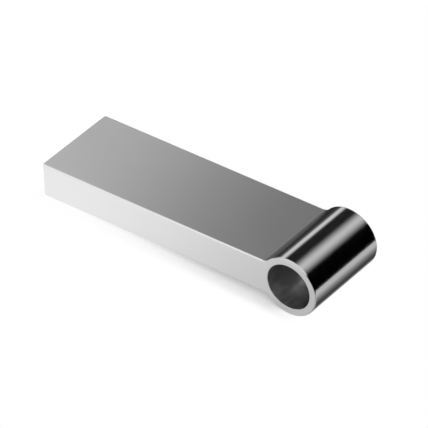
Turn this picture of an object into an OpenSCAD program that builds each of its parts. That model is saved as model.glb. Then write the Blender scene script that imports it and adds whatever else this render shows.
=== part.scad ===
/* [Case] */
// Length from the plug's mouth to the far side of the tube
overall_l = 40; // [38:0.5:52]
// Width across the plug and along the tube
plug_w = 12; // [11.8:0.05:12.2]
// Thickness of the plug section
plug_h = 4.5; // [4.4:0.05:4.6]
// Wall above and below the cavity
flat_wall = 0.35; // [0.3:0.01:0.4]
// Wall at each side of the cavity
side_wall = 0.45; // [0.4:0.01:0.5]
// Depth of the cavity from the mouth
cavity_l = 30.5; // [29.5:0.25:31]
// Radius of the cavity's inner corners
cavity_r = 0.25; // [0.1:0.05:0.4]
// Radius along the outer edges of the case
edge_r = 0.2; // [0.1:0.05:0.3]
// Radius of the upright corners at the mouth
mouth_corner_r = 0.3; // [0.2:0.05:0.5]
// Bevel along the mouth's upper and lower edges
mouth_bevel = 0.12; // [0.05:0.01:0.2]

/* [Key-ring tube] */
// Outer diameter of the tube
tube_od = 7.8; // [7.2:0.1:8.6]
// Diameter of the hole through the tube
tube_id = 5.9; // [4.5:0.1:6.1]
// Radius of the blend between the bar and the tube
blend_r = 1.2; // [0.8:0.1:1.6]
// Radius around the rims of the tube's hole
rim_r = 0.2; // [0.1:0.05:0.3]

/* [Carrier] */
// Free gap at each side of the carrier and cover
slide_gap = 0.05; // [0.03:0.01:0.1]
// Setback of the carrier's nose from the mouth
nose_setback = 0.3; // [0.1:0.05:0.6]
// Length of the nose ahead of the board
nose_l = 0.8; // [0.6:0.1:1.2]
// Bevel along the top of the nose
nose_bevel = 0.35; // [0.2:0.05:0.5]
// Thickness of the tray's floor
tray_floor = 0.75; // [0.6:0.05:0.8]
// Thickness of the tray's side rails
rail_t = 0.6; // [0.5:0.05:0.8]
// Thickness of the tray's back wall
tray_back = 0.6; // [0.5:0.05:1]
// Distance from the mouth to the locking barbs
barb_x = 15; // [13:0.5:20]
// Length of each locking barb
barb_l = 1.6; // [1:0.1:2.5]
// Height of each locking barb
barb_h = 0.9; // [0.6:0.1:1.2]
// How far each barb stands out
barb_out = 0.2; // [0.15:0.01:0.25]

/* [Cover] */
// Depth of the open plug zone, from the mouth to the cover
plug_depth = 12; // [11:0.25:13]
// Thickness of the cover's roof
roof_t = 0.35; // [0.25:0.05:0.45]
// Thickness of the cover's side and back walls
cover_wall = 0.5; // [0.4:0.05:0.6]
// Thickness of the cover's front wall
bulkhead_t = 0.6; // [0.4:0.05:0.8]
// Diameter of the locating pegs
peg_d = 0.9; // [0.7:0.05:1.1]
// Depth of the pegs below the board
peg_below = 0.45; // [0.3:0.05:0.5]
// Distance from a peg's axis to the cover's end
peg_inset = 1.05; // [1:0.05:1.3]
// Distance from a peg's axis to the board's long edge
peg_margin = 0.8; // [0.7:0.05:0.95]

/* [Circuit board] */
// Thickness of the board
board_t = 1; // [0.8:0.1:1.1]
// Free strip along the board's long edges
part_margin = 0.3; // [0.2:0.05:0.4]
// Gap between parts that stand side by side
part_gap = 0.3; // [0.2:0.05:0.4]
// Radius of the notches in the board's long edges
notch_r = 0.5; // [0.4:0.05:0.6]
// Distance from the mouth to the notches
notch_x = 23.3; // [22.8:0.1:23.6]

/* [Contacts] */
// Width of each contact
contact_w = 1; // [0.8:0.05:1.1]
// Thickness of each contact
contact_t = 0.1; // [0.06:0.01:0.15]
// Distance from the middle line to an outer contact's centre
outer_pitch = 3.5; // [3.4:0.05:3.6]
// Distance from the middle line to an inner contact's centre
inner_pitch = 1; // [0.9:0.05:1.1]
// Distance from the mouth to the outer contacts' front
outer_front = 1.6; // [1.4:0.1:2]
// Distance from the mouth to the inner contacts' front
inner_front = 2.6; // [2.4:0.1:3]
// Distance from the mouth to all contacts' tails
contact_tail = 9.2; // [8.5:0.1:10]

/* [Chips] */
// Side of the radio chip's square body
radio_side = 4; // [3:0.5:5]
// Height of the radio chip's body
radio_h = 0.8; // [0.6:0.05:0.9]
// Pads along each side of the radio chip
radio_pads = 8; // [6:1:8]
// Side of the radio chip's middle pad
radio_slug = 2.4; // [1.6:0.1:2.6]
// Height of the pads under the radio chip
pad_t = 0.05; // [0.03:0.01:0.08]
// Radius of the dimple that marks the radio chip's first pad
dimple_r = 0.3; // [0.2:0.05:0.4]
// Depth of that dimple
dimple_t = 0.05; // [0.03:0.01:0.1]
// Length of the memory chip's body
memory_l = 3; // [2.8:0.1:3.2]
// Width of the memory chip's body
memory_w = 4.4; // [4.2:0.1:4.6]
// Height of the memory chip's body
memory_h = 0.9; // [0.8:0.05:1]
// Length of the regulator's body
regulator_l = 2.9; // [2.7:0.1:3]
// Width of the regulator's body
regulator_w = 1.6; // [1.5:0.1:1.7]
// Height of the regulator's body
regulator_h = 0.95; // [0.8:0.05:1.05]
// Thickness of the bent leads
lead_t = 0.12; // [0.1:0.01:0.15]
// How far the bent leads reach from a body
lead_reach = 0.6; // [0.5:0.05:0.7]
// Clearance under a leaded body
stand_off = 0.1; // [0.05:0.01:0.12]

/* [Small parts] */
// Length of the crystal
crystal_l = 3.2; // [3:0.1:3.2]
// Width of the crystal
crystal_w = 2.5; // [2.3:0.1:2.5]
// Height of the crystal's ceramic base
crystal_base_h = 0.4; // [0.3:0.05:0.5]
// Height of the crystal's metal lid
crystal_lid_h = 0.35; // [0.25:0.05:0.4]
// Length of the ceramic antenna
antenna_l = 3.2; // [3:0.1:3.4]
// Width of the ceramic antenna
antenna_w = 1.6; // [1.4:0.1:1.7]
// Height of the ceramic antenna
antenna_h = 1.1; // [0.9:0.05:1.2]
// Length of a small capacitor or resistor
chip_l = 1; // [0.9:0.05:1.1]
// Width of a small capacitor or resistor
chip_w = 0.5; // [0.45:0.05:0.55]
// Height of a small capacitor
capacitor_h = 0.5; // [0.45:0.05:0.55]
// Height of a small resistor
resistor_h = 0.35; // [0.3:0.05:0.4]
// Length of the large capacitor, coil and filter
block_l = 2; // [1.9:0.05:2.1]
// Width of the large capacitor, coil and filter
block_w = 1.25; // [1.2:0.05:1.3]
// Height of the large capacitor, coil and filter
block_h = 1; // [0.8:0.05:1.1]

/* [Hidden] */
$fn = 96;
// Places along the length; the frame's middle is the middle of the length
mouth_x = -overall_l / 2;
axis_x = overall_l / 2 - tube_od / 2;
axis_z = tube_od / 2;
// Levels of the bar, its cavity and what is stacked in it
bar_low = axis_z - plug_h / 2;
bar_high = axis_z + plug_h / 2;
cavity_low = bar_low + flat_wall;
cavity_high = bar_high - flat_wall;
cavity_w = plug_w - 2 * side_wall;
cavity_end = mouth_x + cavity_l;
board_low = cavity_low + tray_floor;
board_high = board_low + board_t;
// Centre of each blend's arc, measured from the tube's axis
blend_up = plug_h / 2 + blend_r;
blend_back = sqrt(pow(tube_od / 2 + blend_r, 2) - pow(blend_up, 2));
blend_turn = atan2(blend_back, blend_up);
blend_depth = (tube_od - tube_id) / 4;
// The blend's face crosses the faces that it runs into by this much
blend_bite = 0.0005;
// Carrier, board and cover
carrier_front = mouth_x + nose_setback;
carrier_back = cavity_end - slide_gap;
carrier_w = cavity_w - 2 * slide_gap;
carrier_r = cavity_r + slide_gap;
board_front = carrier_front + nose_l + slide_gap;
board_back = carrier_back - tray_back - slide_gap;
board_w = carrier_w - 2 * rail_t - 2 * slide_gap;
board_corner = 0.4;
cover_front = mouth_x + plug_depth;
cover_back = carrier_back;
cover_high = cavity_high - slide_gap;
peg_gap = 0.05;
peg_y = board_w / 2 - peg_margin;
peg_places = [[cover_front + peg_inset, -peg_y], [board_back - peg_inset, peg_y]];
barb_z = cavity_low + tray_floor - barb_h / 2 + board_t / 2;
pocket_gap = 0.06;
// Contacts: name, place across the width and distance of the front from the mouth
contact_rows = [
    ["contact_power", outer_pitch, outer_front],
    ["contact_data_minus", inner_pitch, inner_front],
    ["contact_data_plus", -inner_pitch, inner_front],
    ["contact_ground", -outer_pitch, outer_front]
];
contact_bevel = 0.3;
// Pads and bent leads
radio_row = 0.7 * radio_side;
radio_pad_l = 0.4;
memory_leads = 4;
memory_pitch = 0.65;
regulator_pitch = 0.95;
lead_w = 0.25;
regulator_lead_w = 0.4;
lead_foot = 0.3;
crystal_notch = 0.2;
lid_inset = 0.15;
// Columns of parts share the room behind the cover's front wall in equal gaps
room_x = cover_front + bulkhead_t;
column_l = [chip_w, crystal_l, radio_side, memory_l, antenna_w];
column_gap = (board_back - room_x - total(column_l)) / (len(column_l) + 1);
columns = [for (i = [0 : len(column_l) - 1])
    room_x + (i + 1) * column_gap + total([for (k = [0 : i]) column_l[k]]) - column_l[i]];
// Each column's parts line up along the board's long edges
edge_y = board_w / 2 - part_margin;
radio_at = [columns[2] + radio_side / 2, 0];
memory_at = [columns[3] + memory_l / 2, edge_y - lead_reach - memory_w / 2];
regulator_at = [columns[1] + regulator_l / 2, edge_y - lead_reach - regulator_w / 2];
crystal_at = [columns[1] + crystal_l / 2, block_w + part_gap + crystal_w / 2 - edge_y];
antenna_at = [columns[4] + antenna_w / 2, part_gap];
// Middles of the small parts, along and across the board
capacitor_rows = [
    for (side = [1, -1], i = [-1.5 : 1.5])
        [radio_at[0] + i * radio_side / 4, side * (edge_y - chip_l / 2)]
];
resistor_rows = [
    for (y = [inner_pitch, -inner_pitch, inner_pitch + chip_l + 2 * part_gap])
        [columns[0] + chip_w / 2, y]
];
// Larger parts: name, middle along and across the board, quarter turns, colour
block_rows = [
    ["bulk_capacitor", columns[1] + block_l / 2, block_w / 2 - edge_y, 0, "peru"],
    ["power_inductor", memory_at[0], block_w / 2 - edge_y, 0, "dimgray"],
    ["band_filter", antenna_at[0], block_l / 2 - edge_y, 1, "gainsboro"]
];
end_cap = 0.25;
end_proud = 0.02;
// Slack by which a cut passes the face that it opens
over = 0.5;

// Sum of a list of lengths
function total(list, i = 0) = i < len(list) ? list[i] + total(list, i + 1) : 0;

// Rectangle with round corners, centred
module round_rect(w, h, r) {
    square([w - 2 * r, h], center = true);
    square([w, h - 2 * r], center = true);
    for (x = [-1, 1], y = [-1, 1]) {
        translate([x * (w / 2 - r), y * (h / 2 - r)]) circle(r);
    }
}

// Solid whose section across the length is the child, from one x to another
module along_x(x0, x1) {
    translate([x0, 0, 0])
        rotate([90, 0, 90])
            linear_extrude(x1 - x0) children();
}

// Solid whose outline seen from the side is the child, as wide as w
module along_y(w) {
    rotate([90, 0, 0])
        linear_extrude(w, center = true) children();
}

// Bar of the case, from the mouth to the tube's axis
module bar() {
    intersection() {
        along_x(mouth_x, axis_x)
            translate([0, axis_z]) round_rect(plug_w, plug_h, edge_r);
        translate([0, 0, bar_low - over])
            linear_extrude(plug_h + 2 * over) bar_plan();
        along_y(plug_w + 2 * over) bar_side();
    }
}

// The bar from above, with round corners at the mouth only
module bar_plan() {
    r = mouth_corner_r;
    translate([mouth_x + r, -plug_w / 2]) square([axis_x - mouth_x, plug_w]);
    translate([mouth_x, -plug_w / 2 + r]) square([2 * r, plug_w - 2 * r]);
    for (side = [-1, 1]) {
        translate([mouth_x + r, side * (plug_w / 2 - r)]) circle(r);
    }
}

// The bar from the side, bevelled above and below the mouth
module bar_side() {
    b = mouth_bevel;
    polygon([
        [mouth_x, bar_low + b],
        [mouth_x + b, bar_low],
        [axis_x + over, bar_low],
        [axis_x + over, bar_high],
        [mouth_x + b, bar_high],
        [mouth_x, bar_high - b]
    ]);
}

// Half section of the tube's wall, with round outer edges and rims
module tube_section() {
    r0 = tube_id / 2;
    r1 = tube_od / 2;
    half = plug_w / 2;
    translate([r0 + rim_r, -half]) square([r1 - edge_r - r0 - rim_r, plug_w]);
    translate([r0, -half + rim_r]) square([2 * rim_r, plug_w - 2 * rim_r]);
    translate([r1 - 2 * edge_r, -half + edge_r])
        square([2 * edge_r, plug_w - 2 * edge_r]);
    for (side = [-1, 1]) {
        translate([r0 + rim_r, side * (half - rim_r)]) circle(rim_r);
        translate([r1 - edge_r, side * (half - edge_r)]) circle(edge_r);
    }
}

// Tube that takes a key ring, along the width
module tube() {
    translate([axis_x, 0, axis_z])
        rotate([90, 0, 0]) rotate_extrude() tube_section();
}

// Half section of what a blend leaves free: a round bar, flared at both ends
module hollow_section() {
    r = blend_r + blend_bite;
    half = plug_w / 2;
    translate([0, -half - over]) square([r, plug_w + 2 * over]);
    for (side = [-1, 1]) {
        translate([r + edge_r, side * (half - edge_r)])
            difference() {
                translate([-edge_r - over, min(0, side * (edge_r + over))])
                    square([edge_r + over, edge_r + over]);
                circle(edge_r);
            }
    }
}

// Blend between the bar's upper face and the tube: a wedge with a hollow face
module blend() {
    deep = blend_r + blend_depth;
    corner = deep / cos(blend_turn / 2);
    translate([axis_x - blend_back, 0, axis_z + blend_up])
        difference() {
            along_y(plug_w)
                polygon([
                    [0, 0],
                    [0, -deep],
                    [corner * sin(blend_turn / 2), -corner * cos(blend_turn / 2)],
                    [deep * sin(blend_turn), -deep * cos(blend_turn)]
                ]);
            rotate([90, 0, 0]) rotate_extrude() hollow_section();
        }
}

// One-piece metal case: plug, grip and key-ring tube
module case() {
    color("silver") difference() {
        union() {
            // The bar and its blends end halfway into the tube's wall
            difference() {
                union() {
                    bar();
                    blend();
                    translate([0, 0, 2 * axis_z]) mirror([0, 0, 1]) blend();
                }
                translate([axis_x, 0, axis_z])
                    rotate([90, 0, 0])
                        cylinder(h = plug_w + 2 * over, d = (tube_id + tube_od) / 2, center = true);
            }
            tube();
        }
        along_x(mouth_x - over, cavity_end)
            translate([0, (cavity_low + cavity_high) / 2])
                round_rect(cavity_w, cavity_high - cavity_low, cavity_r);
        for (side = [-1, 1]) {
            barb(side, pocket_gap);
        }
    }
}

// Wedge that locks the carrier into the case, grown by gap for its pocket
module barb(side, gap) {
    x0 = mouth_x + barb_x;
    root = carrier_w / 2 - rail_t / 2;
    tip = carrier_w / 2 + barb_out;
    scale([1, side, 1])
        translate([0, 0, barb_z - barb_h / 2 - gap])
            linear_extrude(barb_h + 2 * gap)
                polygon([
                    [x0 - barb_l / 2 - gap, root],
                    [x0 + barb_l / 2 + gap, root],
                    [x0 + barb_l / 2 + gap, carrier_w / 2],
                    [x0 - barb_l / 2 + gap, tip],
                    [x0 - barb_l / 2 - gap, tip]
                ]);
}

// Moulded tray that fills the lower half of the cavity and carries the board
module contact_carrier() {
    color([0.09, 0.09, 0.1]) {
        difference() {
            tray_blank();
            // Bed of the board, with the nibs left standing
            difference() {
                translate([board_front - slide_gap, -board_w / 2 - slide_gap, board_low])
                    cube([
                        board_back - board_front + 2 * slide_gap,
                        board_w + 2 * slide_gap,
                        board_t + over
                    ]);
                for (side = [-1, 1]) {
                    translate([mouth_x + notch_x, side * (board_w / 2 + slide_gap), board_low])
                        cylinder(h = board_t, r = notch_r - slide_gap);
                }
            }
            for (place = peg_places) {
                translate([place[0], place[1], board_low - peg_below])
                    cylinder(h = peg_below + over, d = peg_d + 2 * peg_gap);
            }
        }
        for (side = [-1, 1]) {
            barb(side, 0);
        }
    }
}

// Outside of the tray: round lower corners and a bevelled nose
module tray_blank() {
    high = board_high - cavity_low;
    intersection() {
        along_x(carrier_front, carrier_back)
            intersection() {
                translate([0, cavity_low + high]) round_rect(carrier_w, 2 * high, carrier_r);
                translate([-carrier_w / 2, cavity_low]) square([carrier_w, high]);
            }
        along_y(plug_w)
            polygon([
                [carrier_front, cavity_low],
                [carrier_back, cavity_low],
                [carrier_back, board_high],
                [carrier_front + nose_bevel, board_high],
                [carrier_front, board_high - nose_bevel]
            ]);
    }
}

// Moulded lid over the parts, whose front wall ends the plug zone
module carrier_cover() {
    color([0.13, 0.13, 0.14]) {
        difference() {
            along_x(cover_front, cover_back)
                difference() {
                    translate([0, board_high])
                        round_rect(carrier_w, 2 * (cover_high - board_high), carrier_r);
                    translate([-plug_w / 2, cavity_low - plug_h])
                        square([plug_w, board_high - cavity_low + plug_h]);
                }
            translate([room_x, -carrier_w / 2 + cover_wall, board_high - over])
                cube([
                    cover_back - cover_wall - room_x,
                    carrier_w - 2 * cover_wall,
                    cover_high - roof_t - board_high + over
                ]);
        }
        for (place = peg_places) {
            translate([place[0], place[1], board_low - peg_below + peg_gap])
                cylinder(h = cover_high - roof_t / 2 - board_low + peg_below - peg_gap, d = peg_d);
        }
    }
}

// Circuit board, with bevelled corners, locating notches and peg holes
module circuit_board() {
    color([0.02, 0.22, 0.13])
        translate([0, 0, board_low])
            linear_extrude(board_t)
                difference() {
                    board_outline();
                    for (side = [-1, 1]) {
                        translate([mouth_x + notch_x, side * board_w / 2]) circle(notch_r);
                    }
                    for (place = peg_places) {
                        translate(place) circle(d = peg_d + 2 * peg_gap);
                    }
                }
}

// Board from above, before its notches and holes
module board_outline() {
    c = board_corner;
    polygon([
        [board_front + c, -board_w / 2],
        [board_back - c, -board_w / 2],
        [board_back, -board_w / 2 + c],
        [board_back, board_w / 2 - c],
        [board_back - c, board_w / 2],
        [board_front + c, board_w / 2],
        [board_front, board_w / 2 - c],
        [board_front, -board_w / 2 + c]
    ]);
}

// Gold-plated contact strip on the board, bevelled at its front
module contact(y, front) {
    x0 = mouth_x + front;
    x1 = mouth_x + contact_tail;
    color("gold")
        translate([0, y, board_high])
            along_y(contact_w)
                polygon([
                    [x0, 0],
                    [x1, 0],
                    [x1, contact_t],
                    [x0 + contact_bevel, contact_t],
                    [x0, contact_t / 3]
                ]);
}

// Radio chip's moulded body, with a dimple at its first pad
module radio_chip() {
    inset = radio_side / 2 - 2 * dimple_r;
    color([0.07, 0.07, 0.08])
        translate([radio_at[0], radio_at[1], board_high + pad_t])
            difference() {
                translate([-radio_side / 2, -radio_side / 2, 0])
                    cube([radio_side, radio_side, radio_h]);
                translate([-inset, -inset, radio_h - dimple_t])
                    cylinder(h = dimple_t + over, r = dimple_r);
            }
}

// Pads under the radio chip: four rows and the middle one
module radio_chip_pads() {
    pitch = radio_row / (radio_pads - 1);
    color("lightgray") translate([radio_at[0], radio_at[1], board_high]) {
        for (turn = [0 : 90 : 270], i = [0 : radio_pads - 1]) {
            rotate([0, 0, turn])
                translate([radio_side / 2 - radio_pad_l, i * pitch - radio_row / 2 - pitch / 4, 0])
                    cube([radio_pad_l, pitch / 2, pad_t]);
        }
        translate([-radio_slug / 2, -radio_slug / 2, 0])
            cube([radio_slug, radio_slug, pad_t]);
    }
}

// Moulded body of a leaded chip, its four walls drawn in above and below the leads
module leaded_body(at, l, w, h) {
    draft = 0.08;
    low = board_high + stand_off;
    mid = low + h / 2;
    color([0.08, 0.08, 0.09]) intersection() {
        translate([at[0], at[1], 0]) along_y(w) taper_outline(l, low, mid, h, draft);
        translate([at[0], at[1], 0]) rotate([0, 0, 90]) along_y(l) taper_outline(w, low, mid, h, draft);
    }
}

// Side view of a moulded body, widest at the level of its leads
module taper_outline(l, low, mid, h, draft) {
    polygon([
        [-l / 2 + draft, low],
        [l / 2 - draft, low],
        [l / 2, mid],
        [l / 2 - draft, low + h],
        [-l / 2 + draft, low + h],
        [-l / 2, mid]
    ]);
}

// Gull-wing lead at y = 0, leaving a body's wall at x = 0 at height high
module gull_lead(w, high) {
    t = lead_t;
    knee = lead_reach - lead_foot;
    along_y(w)
        polygon([
            [0, high - t / 2],
            [knee / 2 - t / 2, high - t / 2],
            [knee - t / 2, 0],
            [lead_reach, 0],
            [lead_reach, t],
            [knee + t / 2, t],
            [knee / 2 + t / 2, high + t / 2],
            [0, high + t / 2]
        ]);
}

// Row of leads along x, on the side of a body that faces +Y or -Y
module lead_row(at, w, h, count, pitch, lead_width, side) {
    for (i = [0 : count - 1]) {
        translate([at[0] + (i - (count - 1) / 2) * pitch, at[1] + side * w / 2, board_high])
            rotate([0, 0, side * 90]) gull_lead(lead_width, stand_off + h / 2);
    }
}

// Memory chip's moulded body
module memory_chip() {
    leaded_body(memory_at, memory_l, memory_w, memory_h);
}

// Bent leads along two sides of the memory chip
module memory_chip_leads() {
    color("lightgray") for (side = [-1, 1]) {
        lead_row(memory_at, memory_w, memory_h, memory_leads, memory_pitch, lead_w, side);
    }
}

// Regulator's moulded body
module voltage_regulator() {
    leaded_body(regulator_at, regulator_l, regulator_w, regulator_h);
}

// Regulator's bent leads, two on one side and three on the other
module regulator_leads() {
    color("lightgray") {
        lead_row(regulator_at, regulator_w, regulator_h, 3, regulator_pitch, regulator_lead_w, 1);
        lead_row(regulator_at, regulator_w, regulator_h, 2, 2 * regulator_pitch, regulator_lead_w, -1);
    }
}

// Ceramic base of the crystal, with a notch at each corner
module crystal_base() {
    color("khaki")
        translate([crystal_at[0], crystal_at[1], board_high])
            linear_extrude(crystal_base_h)
                difference() {
                    square([crystal_l, crystal_w], center = true);
                    for (x = [-1, 1], y = [-1, 1]) {
                        translate([x * crystal_l / 2, y * crystal_w / 2]) circle(crystal_notch);
                    }
                }
}

// Metal lid of the crystal
module crystal_lid() {
    color("gainsboro")
        translate([crystal_at[0], crystal_at[1], board_high + crystal_base_h])
            linear_extrude(crystal_lid_h)
                round_rect(crystal_l - 2 * lid_inset, crystal_w - 2 * lid_inset, 2 * lid_inset);
}

// Block whose two ends carry metal caps that stand slightly proud
module capped_block(l, w, h) {
    p = end_proud;
    translate([-l / 2 + end_cap / 2, -w / 2 + p, p]) cube([l - end_cap, w - 2 * p, h - 2 * p]);
    for (end = [-1, 1]) {
        translate([end * (l / 2 - end_cap / 2) - end_cap / 2, -w / 2, 0]) cube([end_cap, w, h]);
    }
}

// Ceramic antenna, wound with raised bands
module antenna() {
    bands = 5;
    step = (antenna_l - 2 * end_cap) / bands;
    color("lavender") translate([antenna_at[0], antenna_at[1], board_high]) rotate([0, 0, 90]) {
        capped_block(antenna_l, antenna_w, antenna_h);
        for (i = [0 : bands - 1]) {
            translate([(i + 0.5 - bands / 2) * step - step / 4, -antenna_w / 2, end_proud])
                cube([step / 2, antenna_w, antenna_h - end_proud]);
        }
    }
}

// Large capacitor, coil or filter
module block_part(row) {
    color(row[4])
        translate([row[1], row[2], board_high])
            rotate([0, 0, 90 * row[3]]) capped_block(block_l, block_w, block_h);
}

// Small capacitor across the board
module capacitor(row) {
    color("tan")
        translate([row[0], row[1], board_high])
            rotate([0, 0, 90]) capped_block(chip_l, chip_w, capacitor_h);
}

// Small resistor across the board
module resistor(row) {
    color([0.12, 0.12, 0.13])
        translate([row[0], row[1], board_high])
            rotate([0, 0, 90]) capped_block(chip_l, chip_w, resistor_h);
}

case();
contact_carrier();
carrier_cover();
circuit_board();
for (row = contact_rows) {
    contact(row[1], row[2]);
}
radio_chip();
radio_chip_pads();
memory_chip();
memory_chip_leads();
voltage_regulator();
regulator_leads();
crystal_base();
crystal_lid();
antenna();
for (row = block_rows) {
    block_part(row);
}
for (i = [1 : len(capacitor_rows)]) {
    capacitor(capacitor_rows[i - 1]);
}
for (i = [1 : len(resistor_rows)]) {
    resistor(resistor_rows[i - 1]);
}
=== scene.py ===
import math
import bmesh
import bpy
from mathutils import Matrix, Vector


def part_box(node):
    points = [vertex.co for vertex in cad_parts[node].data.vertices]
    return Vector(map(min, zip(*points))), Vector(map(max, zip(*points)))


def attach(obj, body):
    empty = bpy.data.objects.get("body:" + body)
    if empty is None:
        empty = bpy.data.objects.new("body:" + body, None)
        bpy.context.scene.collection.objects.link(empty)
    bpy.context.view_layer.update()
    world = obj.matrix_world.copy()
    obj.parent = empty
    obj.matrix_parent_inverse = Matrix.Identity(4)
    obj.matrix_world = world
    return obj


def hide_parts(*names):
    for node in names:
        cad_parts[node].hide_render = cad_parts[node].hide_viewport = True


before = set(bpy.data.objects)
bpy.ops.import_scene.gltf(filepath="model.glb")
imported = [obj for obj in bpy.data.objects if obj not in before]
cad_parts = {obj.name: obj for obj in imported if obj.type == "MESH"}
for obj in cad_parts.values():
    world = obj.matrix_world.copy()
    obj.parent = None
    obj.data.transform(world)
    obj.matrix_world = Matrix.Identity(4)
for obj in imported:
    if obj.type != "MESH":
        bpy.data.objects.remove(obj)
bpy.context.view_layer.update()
scene = bpy.context.scene
scene.view_settings.view_transform = "Standard"
mm = 0.001
print("frame loaded:", len(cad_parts), "nodes")

photo = {  # the camera, in degrees and metres
    "azimuth": 38.876,
    "elevation": 36.925,
    "roll": -2.39,
    "distance": 0.55457,
    "lens": 400.3,
    "target": (0.000827, 0, 0.004086),
}


def placeCamera(look):
    turn, rise = math.radians(look["azimuth"]), math.radians(look["elevation"])
    back = Vector((math.sin(turn) * math.cos(rise), -math.cos(turn) * math.cos(rise), math.sin(rise)))
    across = Matrix.Rotation(math.radians(look["roll"]), 3, back) @ Vector((0, 0, 1)).cross(back).normalized()
    axes = Matrix((across, back.cross(across), back)).transposed()
    bpy.ops.object.camera_add()
    camera = bpy.context.object
    camera.name = "photoCamera"
    camera.data.lens = look["lens"]
    camera.data.clip_start = 0.01
    camera.matrix_world = Matrix.Translation(Vector(look["target"]) + look["distance"] * back) @ axes.to_4x4()
    scene.camera = camera


placeCamera(photo)
print("camera placed")


# ---- helpers for modelling ----
def deselectAll():
    if bpy.context.object and bpy.context.object.mode == "EDIT":
        bpy.ops.object.mode_set(mode="OBJECT")
    bpy.ops.object.select_all(action="DESELECT")


def nameIt(name):
    piece = bpy.context.object
    piece.name = name
    piece.data.name = name
    return piece


def editMode(piece):
    deselectAll()
    piece.select_set(True)
    bpy.context.view_layer.objects.active = piece
    bpy.ops.object.mode_set(mode="EDIT")


def objectMode():
    bpy.ops.object.mode_set(mode="OBJECT")


def pick(kind, test):  # selects only the VERT, EDGE or FACE elements that pass the test
    bpy.ops.mesh.select_mode(type=kind)
    bpy.ops.mesh.select_all(action="DESELECT")
    data = bpy.context.object.data
    mesh = bmesh.from_edit_mesh(data)
    for part in {"VERT": mesh.verts, "EDGE": mesh.edges, "FACE": mesh.faces}[kind]:
        if test(part):
            part.select_set(True)
    mesh.select_flush_mode()
    bmesh.update_edit_mesh(data)


def ends(edge):  # both ends of an edge, in millimetres
    return [corner.co / mm for corner in edge.verts]


def extrude(x, y, z):
    bpy.ops.mesh.extrude_region_move(TRANSFORM_OT_translate={"value": (x * mm, y * mm, z * mm)})


def spin(degrees, steps, x, z):  # about an upright axis through the side view's x and z
    bpy.ops.mesh.spin(steps=steps, angle=math.radians(degrees), center=(x * mm, 0, z * mm), axis=(0, 1, 0))


def apply(piece, kind, **settings):
    deselectAll()
    piece.select_set(True)
    bpy.context.view_layer.objects.active = piece
    modifier = piece.modifiers.new(kind.title(), kind)
    for key, value in settings.items():
        setattr(modifier, key, value)
    bpy.ops.object.modifier_apply(modifier=modifier.name)


def cut(piece, cutter):  # takes the cutter's shape out of the piece, and removes the cutter
    apply(piece, "BOOLEAN", operation="DIFFERENCE", solver="EXACT", object=cutter)
    bpy.data.meshes.remove(cutter.data)


def block(name, low, high):  # box between two corners, in millimetres
    deselectAll()
    size = [b - a for a, b in zip(low, high)]
    middle = [(a + b) / 2 * mm for a, b in zip(low, high)]
    bpy.ops.mesh.primitive_cube_add(size=mm, location=middle)
    piece = nameIt(name)
    piece.scale = size
    bpy.ops.object.transform_apply(location=True, rotation=True, scale=True)
    return piece


def shadeEven(piece, angle=30):
    deselectAll()
    piece.select_set(True)
    bpy.context.view_layer.objects.active = piece
    bpy.ops.object.shade_smooth_by_angle(angle=math.radians(angle))
    apply(piece, "WEIGHTED_NORMAL", keep_sharp=True)


# The case: one outline from the side, drawn with extrudes and spins
case = {  # millimetres
    "length": 40,
    "width": 12,
    "barHeight": 4.5,
    "tubeRadius": 3.9,
    "boreRadius": 2.95,
    "blendRadius": 1.2,
    "edgeRadius": 0.2,
    "mouthCorner": 0.3,
    "mouthBevel": 0.12,
    "lowerLip": 0.25,
    "rimRadius": 0.1,
    "cavityWidth": 11.1,
    "cavityHeight": 3.8,
    "cavityLength": 30.5,
    "cavityCorner": 0.25,
    "leadIn": 0.06,
    "tubeSteps": 144,
    "blendSteps": 20,
}
case["axisX"] = case["length"] / 2 - case["tubeRadius"]
case["blendUp"] = case["barHeight"] / 2 + case["blendRadius"]
case["blendBack"] = math.sqrt((case["tubeRadius"] + case["blendRadius"]) ** 2 - case["blendUp"] ** 2)
case["blendX"] = case["axisX"] - case["blendBack"]


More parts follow.
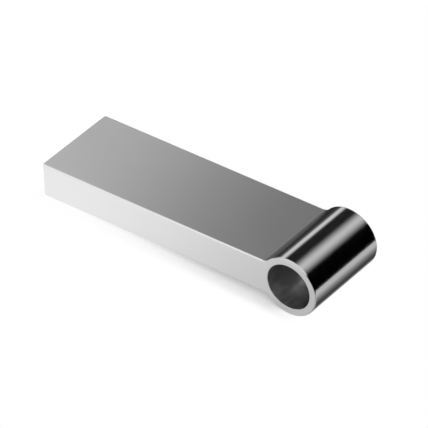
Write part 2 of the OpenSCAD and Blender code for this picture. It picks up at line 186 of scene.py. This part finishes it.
def makeCase(size):
    half = size["width"] / 2
    mouth = -size["length"] / 2
    axisX, axisZ = size["axisX"], size["tubeRadius"]
    blendX, blendUp = size["blendX"], size["blendUp"]
    blendTurn = math.degrees(math.atan2(size["blendBack"], blendUp))

    deselectAll()
    bpy.ops.mesh.primitive_plane_add(size=mm, location=(0, 0, 0))
    shell = nameIt("caseShell")
    bpy.ops.object.mode_set(mode="EDIT")
    bpy.ops.mesh.merge(type="CENTER")
    bpy.ops.transform.translate(value=(mouth * mm, -half * mm, (axisZ + size["barHeight"] / 2) * mm))
    extrude(blendX - mouth, 0, 0)
    spin(blendTurn, size["blendSteps"], blendX, axisZ + blendUp)
    spin(-180 - 2 * blendTurn, size["tubeSteps"], axisX, axisZ)
    spin(blendTurn, size["blendSteps"], blendX, axisZ - blendUp)
    extrude(mouth - blendX, 0, 0)
    bpy.ops.mesh.select_all(action="SELECT")
    bpy.ops.mesh.edge_face_add()
    extrude(0, size["width"], 0)
    bpy.ops.mesh.select_all(action="SELECT")
    bpy.ops.mesh.normals_make_consistent(inside=False)

    # Every outer edge is rounded in one go, each by its own share of the widest radius
    widest = size["mouthCorner"]

    def weigh(width, test):
        pick("EDGE", test)
        bpy.ops.transform.edge_bevelweight(value=width / widest)

    def rimEdge(edge):
        a, b = ends(edge)
        return abs(a.y - b.y) < 0.01 and max(a.x, b.x) > mouth + 0.01

    def uprightEdge(edge):
        a, b = ends(edge)
        return max(a.x, b.x) < mouth + 0.01 and abs(a.y - b.y) < 0.01

    def lipEdge(edge):
        a, b = ends(edge)
        return max(a.x, b.x) < mouth + 0.01 and abs(a.z - b.z) < 0.01

    def lowerLip(edge):
        return lipEdge(edge) and ends(edge)[0].z < axisZ

    weigh(size["edgeRadius"], rimEdge)
    weigh(size["mouthCorner"], uprightEdge)
    weigh(size["mouthBevel"], lipEdge)
    weigh(size["lowerLip"] - size["mouthBevel"], lowerLip)
    objectMode()
    apply(shell, "BEVEL", limit_method="WEIGHT", width=widest * mm, segments=5, use_clamp_overlap=False)

    # Hole for the key ring, with rounded rims
    deselectAll()
    bpy.ops.mesh.primitive_cylinder_add(
        vertices=size["tubeSteps"],
        radius=size["boreRadius"] * mm,
        depth=1.2 * size["width"] * mm,
        location=(axisX * mm, 0, axisZ * mm),
        rotation=(math.pi / 2, 0, 0),
    )
    cut(shell, nameIt("boreCutter"))

    # Cavity for the carrier and board, open at the mouth, with pockets for the carrier's barbs
    wide, tall = size["cavityWidth"] / 2, size["cavityHeight"] / 2
    cavity = block("cavityCutter", (mouth - 1, -wide, axisZ - tall), (mouth + size["cavityLength"], wide, axisZ + tall))
    editMode(cavity)
    pick("EDGE", lambda edge: abs(edge.verts[0].co.x - edge.verts[1].co.x) > 10 * mm)
    bpy.ops.mesh.bevel(offset=size["cavityCorner"] * mm, segments=6, affect="EDGES")
    objectMode()
    cut(shell, cavity)
    for side in (1, -1):
        pocket = block("pocketCutter", (mouth + 14.14, 4.7, 2.71), (mouth + 15.86, 5.76, 3.73))
        editMode(pocket)
        pick("VERT", lambda corner: corner.co.x > (mouth + 15) * mm and corner.co.y > 5 * mm)
        bpy.ops.transform.translate(value=(0, -0.21 * mm, 0))
        bpy.ops.mesh.select_all(action="SELECT")
        bpy.ops.transform.resize(value=(1, side, 1), center_override=(0, 0, 0))
        bpy.ops.mesh.normals_make_consistent(inside=False)
        objectMode()
        cut(shell, pocket)

    def boreRim(edge):
        a, b = ends(edge)
        return a.y * b.y > 0 and all(
            abs(abs(end.y) - half) < 0.01 and abs(math.hypot(end.x - axisX, end.z - axisZ) - size["boreRadius"]) < 0.01
            for end in (a, b)
        )

    def mouthRim(edge):
        return all(
            abs(end.x - mouth) < 0.01 and abs(end.y) < wide + 0.01 and abs(end.z - axisZ) < tall + 0.01
            for end in ends(edge)
        )

    editMode(shell)
    bpy.ops.mesh.select_all(action="SELECT")
    bpy.ops.mesh.remove_doubles(threshold=0.001 * mm)
    pick("EDGE", boreRim)
    bpy.ops.mesh.bevel(offset=size["rimRadius"] * mm, segments=5, affect="EDGES", clamp_overlap=False)
    pick("EDGE", mouthRim)
    bpy.ops.mesh.bevel(offset=size["leadIn"] * mm, segments=2, affect="EDGES", clamp_overlap=False)
    objectMode()
    shadeEven(shell)
    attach(shell, "root")
    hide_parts("case")
    return shell


caseShell = makeCase(case)
print("case modelled:", len(caseShell.data.polygons), "faces")


class Wire:  # one output of a shader node, with arithmetic on it
    def __init__(self, tree, socket=None):
        self.tree = tree
        self.socket = socket

    def node(self, kind, settings=None, inputs=None, output=0):
        node = self.tree.nodes.new("ShaderNode" + kind)
        for key, value in (settings or {}).items():
            setattr(node, key, value)
        for key, value in (inputs or {}).items():
            if isinstance(value, Wire):
                self.tree.links.new(value.socket, node.inputs[key])
            else:
                node.inputs[key].default_value = value
        return Wire(self.tree, node.outputs[output]) if node.outputs else None

    def maths(self, operation, *values):
        return self.node("Math", {"operation": operation}, dict(enumerate(values)))

    def __add__(self, other):
        return self.maths("ADD", self, other)

    __radd__ = __add__

    def __sub__(self, other):
        return self.maths("SUBTRACT", self, other)

    def __rsub__(self, other):
        return self.maths("SUBTRACT", other, self)

    def __mul__(self, other):
        return self.maths("MULTIPLY", self, other)

    __rmul__ = __mul__

    def __truediv__(self, other):
        return self.maths("DIVIDE", self, other)

    def __abs__(self):
        return self.maths("ABSOLUTE", self)

    def most(self, other):
        return self.maths("MAXIMUM", self, other)

    def least(self, other):
        return self.maths("MINIMUM", self, other)

    def fade(self, start, end, low=0.0, high=1.0):  # low at start to high at end, smoothly
        return self.node(
            "MapRange",
            {"interpolation_type": "SMOOTHSTEP"},
            {"Value": self, "From Min": start, "From Max": end, "To Min": low, "To Max": high},
        )

    def places(self):  # x, y and z of the piece's own coordinates, in millimetres
        whole = self.node("TexCoord", output="Object")
        return [self.node("SeparateXYZ", inputs={0: whole}, output=i) / mm for i in range(3)]

    def reach(self, first, second):  # how far a place is, from its distances along two directions
        return self.maths("SQRT", first * first + second * second)

    def noise(self, size, detail=2.0, stretch=(1, 1, 1), roughness=0.5):  # cells of a size in millimetres
        whole = self.node("TexCoord", output="Object")
        scaled = self.node("Mapping", inputs={"Vector": whole, "Scale": [part / (size * mm) for part in stretch]})
        return self.node("TexNoise", inputs={"Vector": scaled, "Scale": 1.0, "Detail": detail, "Roughness": roughness})

    def tint(self, factor, first, second):  # a colour between two
        return self.node("Mix", {"data_type": "RGBA"}, {0: factor, 6: first, 7: second}, output=2)

    def bump(self, height, distance, strength=1.0, normal=None):  # distance in millimetres
        values = {"Height": height, "Distance": distance * mm, "Strength": strength}
        if normal:
            values["Normal"] = normal
        return self.node("Bump", inputs=values)


def newMaterial(name):
    material = bpy.data.materials.new(name)
    material.use_nodes = True
    material.node_tree.nodes.clear()
    return material, Wire(material.node_tree)


def finish(start, shader):
    start.node("OutputMaterial", inputs={"Surface": shader})


def paint(piece, material):
    if not piece.material_slots:
        piece.data.materials.append(material)
    for slot in piece.material_slots:
        slot.material = material


metal = {
    "colour": (0.84, 0.84, 0.85, 1),
    # the bore's colours: darker than the case as painted shade, with pale patches as painted reflections
    "boreShadeColour": (0.36, 0.36, 0.37, 1),
    "boreSheenColour": (0.72, 0.72, 0.73, 1),
    # near-black colour of the painted shade in the hollow between bar and tube and on the tube's rounded rims
    "paintedShadeColour": (0.08, 0.08, 0.085, 1),
    "cavityColour": (0.5, 0.5, 0.5, 1),
    "barRoughness": 0.37,
    "tubeRoughness": 0.14,
    "boreRoughness": 0.32,
    "paintedCreaseShade": (12.25, 15.35),  # x span of the hollow between bar and tube, darkened there with painted shade
    "polishStart": 13.6,  # where the satin bar turns into the polished tube, in millimetres
    "polishEnd": 14.4,
    "rimPaintedShade": 0.3,  # how much painted shade darkens the tube's rounded rims, dimming their highlight
    "grain": 0.03,  # size of the satin grain
    "grainDepth": 0.0006,
}


def caseMetal(look, size):
    material, start = newMaterial("caseMetal")
    x, y, z = start.places()
    level = abs(z - size["tubeRadius"])
    bore = start.reach(x - size["axisX"], level).fade(size["boreRadius"] + 0.12, size["boreRadius"] + 0.02)
    inner = level.fade(1.98, 1.9) * abs(y).fade(5.62, 5.54) * x.fade(10.7, 10.5)
    cloud = start.noise(6.0, 3.0)
    grain = start.noise(look["grain"], 3.0, roughness=0.7)
    polished = x.fade(look["polishStart"], look["polishEnd"])
    facing = start.node("TexCoord", output="Normal")
    sideways = start.node("SeparateXYZ", inputs={0: facing}, output=1)
    rounding = 4 * sideways * sideways * (1 - sideways * sideways)
    creaseStart, creaseEnd = look["paintedCreaseShade"]
    # painted shade in the hollow between bar and tube, kept off the bore and the side faces
    paintedCreaseShade = (x.fade(creaseStart, creaseStart + 0.35) + x.fade(creaseStart + 0.35, creaseStart + 1.25)) / 2
    paintedCreaseShade = paintedCreaseShade * x.fade(creaseEnd, creaseEnd - 1.2) * (1 - sideways * sideways) * (1 - bore)
    wear = (rounding * start.noise(0.35, 4.0).fade(0.45, 0.7)).least(1.0)
    roughness = look["barRoughness"] + (look["tubeRoughness"] - look["barRoughness"]) * polished
    roughness = roughness + (look["boreRoughness"] - look["tubeRoughness"]) * bore + 0.15 * inner
    roughness = roughness + 0.05 * (cloud - 0.5) + 0.06 * (grain - 0.5) + 0.08 * wear
    colour = start.tint(
        0.35 * cloud + 0.3 * wear,
        look["colour"],
        [0.93 * part for part in look["colour"][:3]] + [1],
    )
    # the bore painted darker as painted shade, with pale patches of painted reflection
    boreSheen = start.noise(2.4, 2.0, stretch=(1, 0.6, 1)).fade(0.38, 0.6)
    colour = start.tint(bore, colour, start.tint(boreSheen, look["boreShadeColour"], look["boreSheenColour"]))
    # painted shade: the hollow and the tube's rounded rims are darkened towards the near-black colour
    colour = start.tint((paintedCreaseShade + look["rimPaintedShade"] * rounding * polished).least(1.0), colour, look["paintedShadeColour"])
    colour = start.tint(inner * (0.8 + 0.4 * cloud), colour, look["cavityColour"])
    shader = start.node("BsdfPrincipled", inputs={
        "Base Color": colour,
        "Metallic": 1.0,
        "Roughness": roughness,
        "Normal": start.bump(grain, look["grainDepth"]),
    })
    finish(start, shader)
    return material


paint(caseShell, caseMetal(metal, case))
print("case finished")


# What the mouth shows is copied from the frame, and its sharp edges are rounded
moulded = {  # node: (radius of its edges in millimetres, slot)
    "contact_carrier": (0.06, "carrier_plastic"),
    "carrier_cover": (0.06, "cover_plastic"),
    "circuit_board": (0.03, "board_laminate"),
    "contact_power": (0.03, "contact_gold"),
    "contact_data_minus": (0.03, "contact_gold"),
    "contact_data_plus": (0.03, "contact_gold"),
    "contact_ground": (0.03, "contact_gold"),
}


def roundedCopy(node, radius):
    words = node.split("_")
    name = words[0] + "".join(word.title() for word in words[1:]) + "Rounded"
    piece = bpy.data.objects.new(name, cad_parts[node].data.copy())
    piece.data.name = name
    scene.collection.objects.link(piece)
    editMode(piece)
    bpy.ops.mesh.select_all(action="SELECT")
    bpy.ops.mesh.remove_doubles(threshold=0.0005 * mm)
    bpy.ops.mesh.dissolve_limited(angle_limit=math.radians(1))
    objectMode()
    apply(piece, "BEVEL", limit_method="ANGLE", angle_limit=math.radians(40), width=radius * mm, segments=3)
    shadeEven(piece)
    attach(piece, "root")
    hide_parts(node)
    return piece


rounded = {node: roundedCopy(node, radius) for node, (radius, slot) in moulded.items()}
print("mouth pieces rounded")


def plasticFinish(name, look):  # moulded plastic: fine grain, flow lines along its length and pale specks
    material, start = newMaterial(name)
    cloud = start.noise(3.0, 3.0)
    flow = start.noise(0.8, 3.0, stretch=(0.15, 1, 1))
    grain = start.noise(look["grain"], 2.0, roughness=0.7)
    speck = start.noise(0.2, 1.0).fade(0.68, 0.74)
    pale = [3 * part for part in look["colour"][:3]] + [1]
    shader = start.node("BsdfPrincipled", inputs={
        "Base Color": start.tint(0.12 * cloud + 0.12 * flow + 0.25 * speck, look["colour"], pale),
        "Roughness": look["roughness"] + 0.12 * (flow - 0.5) + 0.1 * (grain - 0.5),
        "Normal": start.bump(grain, look["depth"], normal=start.bump(flow, 0.01)),
    })
    finish(start, shader)
    return material


plastics = {
    "carrierPlastic": {"colour": (0.03, 0.03, 0.035, 1), "roughness": 0.42, "grain": 0.06, "depth": 0.004},
    "coverPlastic": {"colour": (0.045, 0.045, 0.05, 1), "roughness": 0.5, "grain": 0.09, "depth": 0.007},
}
paint(rounded["contact_carrier"], plasticFinish("carrierPlastic", plastics["carrierPlastic"]))
paint(rounded["carrier_cover"], plasticFinish("coverPlastic", plastics["coverPlastic"]))

laminate = {  # millimetres in the case's frame
    "maskColour": (0.02, 0.16, 0.09, 1),
    "trackColour": (0.035, 0.24, 0.13, 1),
    "edgeColour": (0.36, 0.33, 0.16, 1),
    "viaColour": (0.6, 0.6, 0.56, 1),
    "tracks": (3.5, 1, -1, -3.5),  # places across the board
    "trackWidth": 0.16,
    "trackStart": -11.2,
    "vias": [(-9.9, 2.25), (-9.9, -2.25), (-9.4, 0), (-17.6, 0), (-16.9, 2.3), (-16.9, -2.3)],
    "viaRadius": 0.22,
}


def laminateFinish(look):
    material, start = newMaterial("boardLaminate")
    x, y, z = start.places()
    facing = start.node("TexCoord", output="Normal")
    flat = abs(start.node("SeparateXYZ", inputs={0: facing}, output=2)).fade(0.4, 0.8)
    weave = start.node("TexWave", {"bands_direction": "X"}, {"Vector": start.node("TexCoord", output="Object"), "Scale": 900.0}, output=1)
    weave = weave + start.node("TexWave", {"bands_direction": "Y"}, {"Vector": start.node("TexCoord", output="Object"), "Scale": 900.0}, output=1)
    plies = start.node("TexWave", {"bands_direction": "Z"}, {"Vector": start.node("TexCoord", output="Object"), "Scale": 1800.0, "Distortion": 2.0}, output=1)
    cloud = start.noise(2.5, 3.0)
    track = None
    for across in look["tracks"]:
        line = abs(y - across).fade(look["trackWidth"] / 2 + 0.03, look["trackWidth"] / 2)
        track = line if track is None else track.most(line)
    track = track * x.fade(look["trackStart"], look["trackStart"] + 0.1)
    pour = abs(abs(y) - 4.55).fade(0.22, 0.18)
    track = track.most(pour)
    ring, hole = None, None
    for along, across in look["vias"]:
        away = start.reach(x - along, y - across)
        rim = away.fade(look["viaRadius"] + 0.02, look["viaRadius"])
        core = away.fade(look["viaRadius"] * 0.5, look["viaRadius"] * 0.4)
        ring = rim if ring is None else ring.most(rim)
        hole = core if hole is None else hole.most(core)
    colour = start.tint(0.25 * cloud + 0.06 * weave, look["maskColour"], (0.012, 0.1, 0.06, 1))
    colour = start.tint(track, colour, look["trackColour"])
    colour = start.tint(ring, colour, look["viaColour"])
    colour = start.tint(hole, colour, (0.01, 0.02, 0.01, 1))
    edge = start.tint(0.5 * plies + 0.3 * cloud, look["edgeColour"], (0.2, 0.19, 0.1, 1))
    shader = start.node("BsdfPrincipled", inputs={
        "Base Color": start.tint(flat, edge, colour),
        "Roughness": 0.62 - 0.34 * flat + 0.1 * (cloud - 0.5),
        "Metallic": 0.9 * ring * flat * (1 - hole),
        "Normal": start.bump(track.most(ring) + 0.08 * weave - 2 * hole, 0.02),
    })
    finish(start, shader)
    return material


paint(rounded["circuit_board"], laminateFinish(laminate))

gold = {
    "colour": (0.95, 0.7, 0.3, 1),
    "rubbedColour": (0.98, 0.82, 0.5, 1),
    "metallic": 0.6,
    "roughness": 0.25,
}


def goldFinish(look, node):  # gold plating, with lines rubbed along it by a socket's springs
    material, start = newMaterial("contactGold_" + node)
    x, y, z = start.places()
    middle = sum(corner.y for corner in map(Vector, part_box(node))) / 2 / mm
    scratch = start.noise(0.05, 3.0, stretch=(0.03, 1, 1))
    cloud = start.noise(0.8, 3.0)
    rubbed = abs(y - middle).fade(0.28, 0.1) * x.fade(-11.8, -13.2) * scratch.fade(0.35, 0.6)
    shader = start.node("BsdfPrincipled", inputs={
        "Base Color": start.tint(0.4 * cloud + 0.5 * rubbed, look["colour"], look["rubbedColour"]),
        "Metallic": look["metallic"],
        "Roughness": look["roughness"] + 0.12 * rubbed + 0.08 * (cloud - 0.5),
        "Normal": start.bump(scratch, 0.002, normal=start.bump(cloud, 0.006)),
    })
    finish(start, shader)
    return material


for node in ("contact_power", "contact_data_minus", "contact_data_plus", "contact_ground"):
    paint(rounded[node], goldFinish(gold, node))
print("mouth pieces finished")


def boxOf(node):  # middle and half size of a node, in millimetres
    low, high = (Vector(corner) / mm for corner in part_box(node))
    return (low + high) / 2, (high - low) / 2


resin = {
    "colour": (0.035, 0.035, 0.04, 1),
    "markColour": (0.16, 0.16, 0.17, 1),
    "roughness": 0.56,
    "markRadius": 0.22,
    "marks": {"radio_chip": (-1.4, -1.4), "memory_chip": (-1.05, -1.7), "voltage_regulator": (-1.1, -0.45)},
}


def resinFinish(look, node):  # moulded resin with a round mark at the first lead
    material, start = newMaterial("chipResin_" + node)
    x, y, z = start.places()
    middle, half = boxOf(node)
    dx, dy = look["marks"][node]
    mark = start.reach(x - (middle.x + dx), y - (middle.y + dy)).fade(look["markRadius"] + 0.03, look["markRadius"])
    grain = start.noise(0.05, 3.0, roughness=0.7)
    cloud = start.noise(1.2, 3.0)
    glass = start.noise(0.12, 1.0).fade(0.66, 0.72)
    colour = start.tint(0.25 * cloud + 0.5 * glass, look["colour"], (0.08, 0.08, 0.085, 1))
    shader = start.node("BsdfPrincipled", inputs={
        "Base Color": start.tint(0.7 * mark, colour, look["markColour"]),
        "Roughness": look["roughness"] + 0.12 * (grain - 0.5) - 0.2 * mark,
        "Normal": start.bump(grain, 0.004),
    })
    finish(start, shader)
    return material


for node in resin["marks"]:
    paint(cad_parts[node], resinFinish(resin, node))

plated = {
    "tinnedLeads": {"colour": (0.68, 0.68, 0.67, 1), "dull": (0.5, 0.5, 0.48, 1), "roughness": 0.3, "grain": (1, 1, 1)},
    "crystalMetal": {"colour": (0.72, 0.71, 0.68, 1), "dull": (0.58, 0.57, 0.54, 1), "roughness": 0.28, "grain": (0.05, 1, 1)},
}


def platedFinish(name, look):  # tin or nickel plating: soft clouds, fine grain and a few dull spots
    material, start = newMaterial(name)
    cloud = start.noise(0.5, 4.0)
    grain = start.noise(0.03, 2.0, stretch=look["grain"])
    spots = start.noise(0.15, 2.0).fade(0.6, 0.7)
    shader = start.node("BsdfPrincipled", inputs={
        "Base Color": start.tint(0.5 * cloud + 0.4 * spots, look["colour"], look["dull"]),
        "Metallic": 1.0,
        "Roughness": look["roughness"] + 0.15 * (cloud - 0.5) + 0.1 * spots,
        "Normal": start.bump(grain, 0.0015, normal=start.bump(cloud, 0.008)),
    })
    finish(start, shader)
    return material


tinned = platedFinish("tinnedLeads", plated["tinnedLeads"])
for node in ("radio_chip_pads", "memory_chip_leads", "regulator_leads"):
    paint(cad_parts[node], tinned)
paint(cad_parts["crystal_lid"], platedFinish("crystalMetal", plated["crystalMetal"]))

fired = {  # ceramic and ferrite blocks: colour of the body, and of its darker spots
    "crystal_base": {"body": (0.62, 0.55, 0.42, 1), "spots": (0.5, 0.42, 0.3, 1), "roughness": 0.5},
    "antenna": {"body": (0.75, 0.77, 0.8, 1), "spots": (0.66, 0.68, 0.7, 1), "roughness": 0.38, "bands": 5},
    "band_filter": {"body": (0.75, 0.77, 0.8, 1), "spots": (0.6, 0.63, 0.66, 1), "roughness": 0.42},
    "bulk_capacitor": {"body": (0.52, 0.38, 0.24, 1), "spots": (0.42, 0.29, 0.17, 1), "roughness": 0.45},
    "power_inductor": {"body": (0.14, 0.14, 0.15, 1), "spots": (0.08, 0.08, 0.09, 1), "roughness": 0.6},
}
for number in range(1, 9):
    fired["capacitor_" + str(number)] = {"body": (0.52, 0.38, 0.24, 1), "spots": (0.42, 0.29, 0.17, 1), "roughness": 0.45}
for number in range(1, 4):
    fired["resistor_" + str(number)] = {
        "body": (0.04, 0.04, 0.045, 1), "spots": (0.02, 0.02, 0.022, 1), "roughness": 0.25, "base": (0.8, 0.8, 0.78, 1),
    }
caps = {"length": 0.26, "colour": (0.68, 0.68, 0.67, 1), "roughness": 0.32}


def firedFinish(look, ends, node):  # a fired body, with plated caps at its two ends where it has them
    material, start = newMaterial("fired_" + node)
    middle, half = boxOf(node)
    x, y, z = start.places()
    along, reach = (x - middle.x, half.x) if half.x > half.y else (y - middle.y, half.y)
    cloud = start.noise(0.4, 3.0)
    grain = start.noise(0.04, 3.0, roughness=0.7)
    specks = start.noise(0.09, 1.0).fade(0.6, 0.68)
    colour = start.tint(0.5 * cloud + 0.5 * specks, look["body"], look["spots"])
    if "base" in look:  # the body's lower part is bare ceramic under a glaze
        colour = start.tint(z.fade(middle.z + half.z - 0.14, middle.z + half.z - 0.18), colour, look["base"])
    metal = 0.0
    if node != "crystal_base":
        metal = abs(along).fade(reach - ends["length"] - 0.01, reach - ends["length"] + 0.01)
    if "bands" in look:  # silver turns round the body
        step = 2 * (reach - ends["length"]) / look["bands"]
        turn = abs((along / step + look["bands"] / 2).maths("FRACT", along / step + look["bands"] / 2) - 0.5)
        metal = metal.most(turn.fade(0.27, 0.25))
    if metal:
        colour = start.tint(metal * 0.95, colour, start.tint(cloud, ends["colour"], (0.55, 0.55, 0.53, 1)))
    shader = start.node("BsdfPrincipled", inputs={
        "Base Color": colour,
        "Metallic": metal,
        "Roughness": look["roughness"] + (ends["roughness"] - look["roughness"]) * metal + 0.12 * (grain - 0.5) + 0.1 * (cloud - 0.5),
        "Normal": start.bump(grain, 0.003, normal=start.bump(cloud, 0.01)),
    })
    finish(start, shader)
    return material


for node, look in fired.items():
    paint(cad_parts[node], firedFinish(look, caps, node))
print("inner parts finished")


# The floor, reflection cards and lamps
studio = {  # millimetres, degrees and brightness
    "rise": 1.65,  # height of the plug's lower edge when the case lies on its tube
    "floorFlat": 28,
    "floorEnd": 60,
    "shadowReach": 1.7,
    "shadow": (0.12, 0.8),  # its share at the plug and before the tube, over plain white
    "tentRadius": 80,
    "tentSpan": (15, 120),  # along the tube, behind the case
    "tentFill": 0.09,
    "tentGap": 0.012,
    "tentCards": [(148.4, 3.6, 10.5, 0.64), (73.3, 0, 31, 0.49)],  # angle, half width, soft edge, level
    "darkGap": (106, 136),
    "blackCard": (33.4, 21),  # distance and height
    "world": 0.45,
    "lamps": {  # place in metres and power in watts
        "lampLeft": ((-0.35, -0.3, 0.45), 1.3),
        "lampRight": ((0.3, -0.3, 0.5), 0.9),
        "lampFront": ((-0.1, -0.55, 0.16), 1.0),
    },
}


def seenRays(start):
    rays = [start.node("LightPath", output=name) for name in ("Is Camera Ray", "Is Glossy Ray", "Is Transmission Ray")]
    return rays[0].most(rays[1]).most(rays[2]), rays[1]


def makeFloor(look, size):
    startX = -size["length"] / 2 + size["lowerLip"]
    run = size["axisX"] - startX
    drop = size["tubeRadius"] - look["rise"]
    slope = math.tan(math.atan2(drop, run) - math.asin(size["tubeRadius"] / math.hypot(run, drop)))
    deselectAll()
    bpy.ops.mesh.primitive_plane_add(size=2, location=(0, 0, 0))
    floor = nameIt("studioFloor")
    bpy.ops.object.mode_set(mode="EDIT")
    for place in (-look["floorEnd"], -look["floorFlat"], look["floorFlat"]):
        bpy.ops.mesh.select_all(action="SELECT")
        bpy.ops.mesh.bisect(plane_co=(place * mm, 0, 0), plane_no=(1, 0, 0))
    far = look["rise"] + slope * (look["floorFlat"] - startX)
    near = look["rise"] + slope * (-look["floorFlat"] - startX)
    pick("VERT", lambda corner: abs(corner.co.x / mm + look["floorFlat"]) > 0.1)
    bpy.ops.transform.translate(value=(0, 0, far * mm))
    pick("VERT", lambda corner: abs(corner.co.x / mm + look["floorFlat"]) < 0.1)
    bpy.ops.transform.translate(value=(0, 0, near * mm))
    objectMode()
    material, start = newMaterial("studioFloor")
    x, y, z = start.places()
    seen, glossy = seenRays(start)
    away = start.reach((abs(x) - size["length"] / 2).most(0.0), (abs(y) - size["width"] / 2).most(0.0))
    # painted shadow on the floor, seen only in reflections: darker towards the tube, beyond the mouth, under the tube's
    # foot and behind the case
    under = x.fade(17.8, 20) * x.fade(27, 19.8) * y.fade(-6.2, -4.5)
    behind = y.fade(5, 8) * x.fade(16, 12)
    bright = (1 - x.fade(-20, 25, 0.0, 0.45)) * (1 - x.fade(-25, -32, 0.0, 0.2)) * (1 - 0.92 * under) * (1 - 0.9 * behind)
    level = 1 - glossy * (1 - bright)
    shade = start.node("CombineColor", inputs={0: level, 1: level, 2: level})
    matte = start.node("BsdfDiffuse", inputs={"Color": shade})
    glow = start.node("Emission", inputs={"Color": shade})
    faint, strong = look["shadow"]
    shadow = x.fade(-20, 8, faint, strong) * x.fade(18, 13) * away.fade(look["shadowReach"], 0.2)
    finish(start, start.node("MixShader", inputs={0: seen * (1 - shadow), 1: matte, 2: glow}))
    paint(floor, material)


def onlyInReflections(piece):
    piece.visible_camera = False
    piece.visible_diffuse = False
    piece.visible_shadow = False
    piece.visible_transmission = False


def makeTent(look, size):
    axisX, axisZ = size["axisX"], size["tubeRadius"]
    deselectAll()
    bpy.ops.mesh.primitive_cylinder_add(
        vertices=96,
        radius=look["tentRadius"] * mm,
        depth=(look["tentSpan"][1] - look["tentSpan"][0]) * mm,
        end_fill_type="NOTHING",
        location=(axisX * mm, sum(look["tentSpan"]) / 2 * mm, axisZ * mm),
        rotation=(math.pi / 2, 0, 0),
    )
    tent = nameIt("softTent")
    bpy.ops.object.transform_apply(location=True, rotation=True, scale=True)
    material, start = newMaterial("softTent")
    x, y, z = start.places()
    angle = start.maths("ARCTAN2", z - axisZ, x - axisX) * (180 / math.pi)
    angle = angle + 360 * start.maths("LESS_THAN", angle, -90)
    gapStart, gapEnd = look["darkGap"]
    gap = abs(angle - (gapStart + gapEnd) / 2).fade((gapEnd - gapStart) / 2, (gapEnd - gapStart) / 2 + 30)
    level = look["tentGap"] + (look["tentFill"] - look["tentGap"]) * gap * angle.fade(40, 60)
    for middle, half, soft, bright in look["tentCards"]:
        level = level + bright * abs(angle - middle).fade(half + soft, half)
    shade = start.node("CombineColor", inputs={0: level, 1: level, 2: level})
    finish(start, start.node("Emission", inputs={"Color": shade}))
    paint(tent, material)
    onlyInReflections(tent)

    distance, height = look["blackCard"]
    card = block("blackCard", (distance, -60, -2), (distance + 0.5, 110, height))
    material, start = newMaterial("blackCard")
    finish(start, start.node("BsdfDiffuse", inputs={"Color": (0.0005, 0.0005, 0.0005, 1)}))
    paint(card, material)
    onlyInReflections(card)


def makeLight(look):
    world = bpy.data.worlds.new("studioWorld")
    scene.world = world
    world.use_nodes = True
    world.node_tree.nodes.clear()
    start = Wire(world.node_tree)
    seen, glossy = seenRays(start)
    level = look["world"] + (1 - look["world"]) * seen
    start.node("OutputWorld", inputs={"Surface": start.node("Background", inputs={"Color": (1, 1, 1, 1), "Strength": level})})
    for name, (place, power) in look["lamps"].items():
        deselectAll()
        bpy.ops.object.light_add(type="AREA", location=place)
        lamp = bpy.context.object
        lamp.name = name
        lamp.data.shape = "SQUARE"
        lamp.data.size = 0.5
        lamp.data.energy = power
        lamp.rotation_euler = (Vector(place)).to_track_quat("Z", "Y").to_euler()
        lamp.visible_glossy = False


makeFloor(studio, case)
makeTent(studio, case)
makeLight(studio)
print("studio lit")
